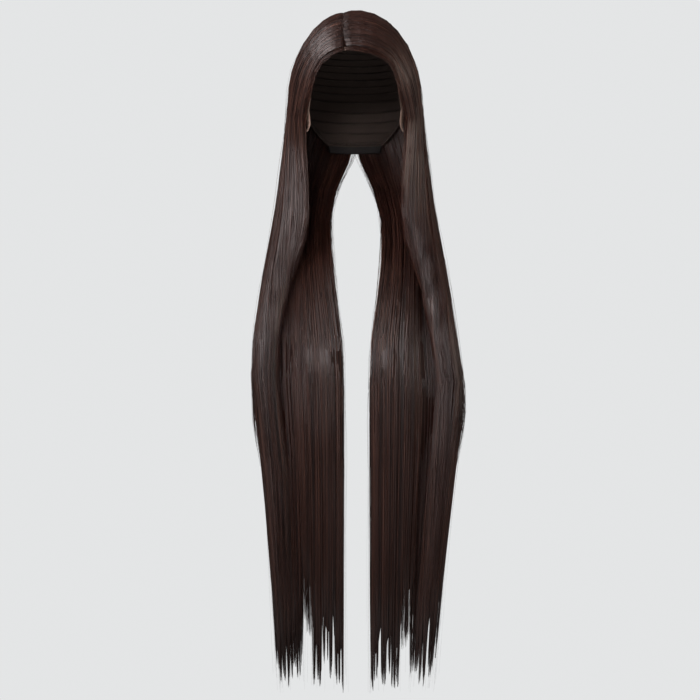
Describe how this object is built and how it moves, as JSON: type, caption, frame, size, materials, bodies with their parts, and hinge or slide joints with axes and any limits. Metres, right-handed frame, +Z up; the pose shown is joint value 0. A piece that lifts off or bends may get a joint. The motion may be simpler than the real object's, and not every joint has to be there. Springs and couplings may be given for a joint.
{
  "type": "lace front wig",
  "caption": "Very long straight dark brown lace front wig, parted just off centre, brought forward in two curtains in front of the shoulders.",
  "frame": {"origin": "inside of the crown of the cap, where it sits on top of the head", "axes": "+Z up along the wearer's body, -Y the way the face looks, +X towards the wearer's left"},
  "size_m": [0.2951, 0.2447, 0.9679],
  "materials": {
    "hair": "long straight dark brown hair, soft sheen",
    "cap_net": "dark brown net cap",
    "lace": "fine skin-tone lace",
    "elastic": "black elastic"
  },
  "bodies": {
    "root": {"cap_net": "cap_net", "lace_front": "lace", "ear_tab_left": "lace", "ear_tab_right": "lace", "nape_band": "elastic", "front_hair_left": "hair", "front_hair_right": "hair", "back_hair_left": "hair", "back_hair_right": "hair"}
  },
  "joints": []
}
